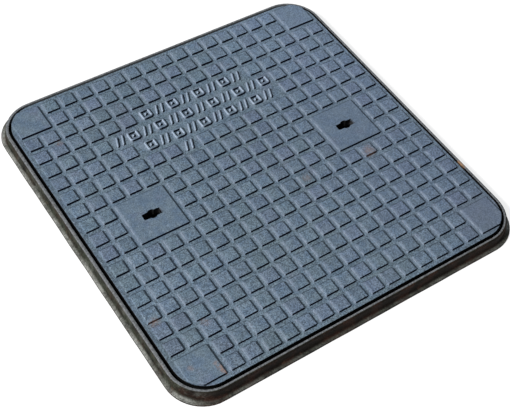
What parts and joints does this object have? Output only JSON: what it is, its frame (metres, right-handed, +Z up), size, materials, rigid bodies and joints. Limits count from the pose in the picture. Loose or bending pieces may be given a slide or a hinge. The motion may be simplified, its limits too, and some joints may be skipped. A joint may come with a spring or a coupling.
{
  "type": "manhole cover",
  "caption": "Square cast-iron access cover with raised anti-slip squares and lifting keyholes, lying in its own flanged frame with a seating seal.",
  "frame": {"origin": "centre of the frame's bedding face, on the ground below the cover", "axes": "+Z up out of the chamber, +X from the left keyhole to the right keyhole, +Y to the far side for a reader of the foundry marks"},
  "size_m": [0.67, 0.67, 0.0305],
  "materials": {
    "cover_iron": "satin bituminous coating over a sand-cast surface",
    "frame_iron": "dull bituminous coating over a sand-cast surface",
    "seal_rubber": "matte",
    "cup_steel": "semi-gloss black",
    "screw_steel": "zinc plated"
  },
  "bodies": {
    "frame_body": {"frame": "frame_iron", "seating_seal": "seal_rubber"},
    "cover_body": {"cover": "cover_iron", "keyway_cup_left": "cup_steel", "keyway_cup_right": "cup_steel", "keyway_cup_screw_1": "screw_steel", "keyway_cup_screw_2": "screw_steel", "keyway_cup_screw_3": "screw_steel", "keyway_cup_screw_4": "screw_steel"}
  },
  "joints": [
    {"name": "cover_lift", "type": "slide", "parent": "frame_body", "child": "cover_body", "axis": [0, 0, 1], "range_m": [0, 0.3]}
  ]
}
